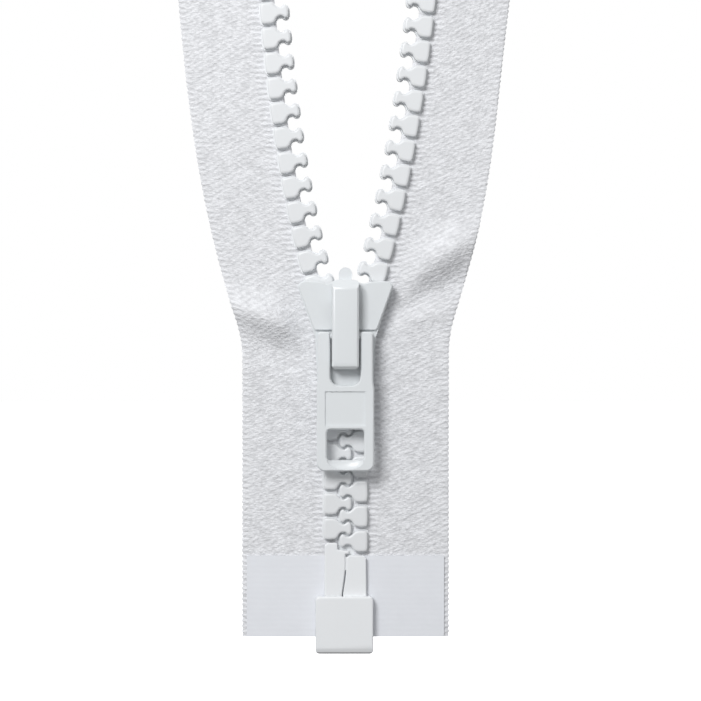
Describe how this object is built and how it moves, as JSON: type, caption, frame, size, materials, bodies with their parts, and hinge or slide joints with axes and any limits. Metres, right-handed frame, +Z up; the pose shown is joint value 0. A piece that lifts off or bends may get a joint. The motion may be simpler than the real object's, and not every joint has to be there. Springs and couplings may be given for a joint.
{
  "type": "zipper",
  "caption": "White open-end zipper with moulded teeth, part open above a locking slider with a slotted pull tab, and a box and pin at the foot.",
  "frame": {"origin": "middle of the box's flat foot", "axes": "+Z up along the closed chain, +X to the right seen from the front, -Y out of the front"},
  "size_m": [0.0498, 0.0074, 0.105],
  "materials": {
    "woven_tape": "fine matt twill with ribbed edge",
    "film": "satin bonded film",
    "moulding": "smooth satin moulding",
    "slider": "smooth satin white lacquer",
    "lock_steel": "plain spring steel"
  },
  "bodies": {
    "root": {"left_film": "film", "right_film": "film", "insertion_pin": "moulding", "retainer_box": "moulding"},
    "left_row": {"left_tape": "woven_tape", "left_tooth_01": "moulding", "left_tooth_02": "moulding", "left_tooth_03": "moulding", "left_tooth_04": "moulding", "left_tooth_05": "moulding", "left_tooth_06": "moulding", "left_tooth_07": "moulding", "left_tooth_08": "moulding", "left_tooth_09": "moulding", "left_tooth_10": "moulding", "left_tooth_11": "moulding", "left_tooth_12": "moulding", "left_tooth_13": "moulding", "left_tooth_14": "moulding", "left_tooth_15": "moulding", "left_tooth_16": "moulding", "left_tooth_17": "moulding", "left_tooth_18": "moulding", "left_tooth_19": "moulding", "left_tooth_20": "moulding", "left_tooth_21": "moulding", "left_tooth_22": "moulding", "left_tooth_23": "moulding", "left_top_stop": "moulding"},
    "right_row": {"right_tape": "woven_tape", "right_tooth_01": "moulding", "right_tooth_02": "moulding", "right_tooth_03": "moulding", "right_tooth_04": "moulding", "right_tooth_05": "moulding", "right_tooth_06": "moulding", "right_tooth_07": "moulding", "right_tooth_08": "moulding", "right_tooth_09": "moulding", "right_tooth_10": "moulding", "right_tooth_11": "moulding", "right_tooth_12": "moulding", "right_tooth_13": "moulding", "right_tooth_14": "moulding", "right_tooth_15": "moulding", "right_tooth_16": "moulding", "right_tooth_17": "moulding", "right_tooth_18": "moulding", "right_tooth_19": "moulding", "right_tooth_20": "moulding", "right_tooth_21": "moulding", "right_tooth_22": "moulding", "right_tooth_23": "moulding", "right_top_stop": "moulding"},
    "slider": {"slider_body": "slider", "bridge_cap": "slider", "lock_spring": "lock_steel"},
    "pawl": {"lock_pawl": "lock_steel"},
    "tab": {"pull_tab": "slider"}
  },
  "joints": [
    {"name": "slider_travel", "type": "slide", "parent": "root", "child": "slider", "axis": [0, 0, -1], "range_m": [0, 0.0285]},
    {"name": "left_row_parting", "type": "hinge", "parent": "root", "child": "left_row", "pos_m": [0, 0, 0.004], "axis": [0, -1, 0], "range_deg": [0, 8.1], "deforming": ["left_tape", "left_tooth_01", "left_tooth_02", "left_tooth_03", "left_tooth_04", "left_tooth_05", "left_tooth_06", "left_tooth_07", "left_tooth_08", "left_tooth_09", "left_tooth_10", "left_tooth_11"]},
    {"name": "right_row_parting", "type": "hinge", "parent": "root", "child": "right_row", "pos_m": [0, 0, 0.004], "axis": [0, 1, 0], "range_deg": [0, 8.1], "deforming": ["right_tape", "right_tooth_01", "right_tooth_02", "right_tooth_03", "right_tooth_04", "right_tooth_05", "right_tooth_06", "right_tooth_07", "right_tooth_08", "right_tooth_09", "right_tooth_10", "right_tooth_11"]},
    {"name": "pull_tab_swing", "type": "hinge", "parent": "slider", "child": "tab", "pos_m": [0, -0.0033, 0.0446], "axis": [-1, 0, 0], "range_deg": [0, 150]},
    {"name": "lock_pawl_lift", "type": "slide", "parent": "slider", "child": "pawl", "axis": [0, -1, 0], "range_m": [0, 0.0005]}
  ],
  "couplings": [
    {"joint": "left_row_parting", "follows": "slider_travel", "rad_per_m": 4.912},
    {"joint": "right_row_parting", "follows": "slider_travel", "rad_per_m": 4.912},
    {"joint": "lock_pawl_lift", "follows": "pull_tab_swing", "m_per_rad": 0.00019}
  ]
}
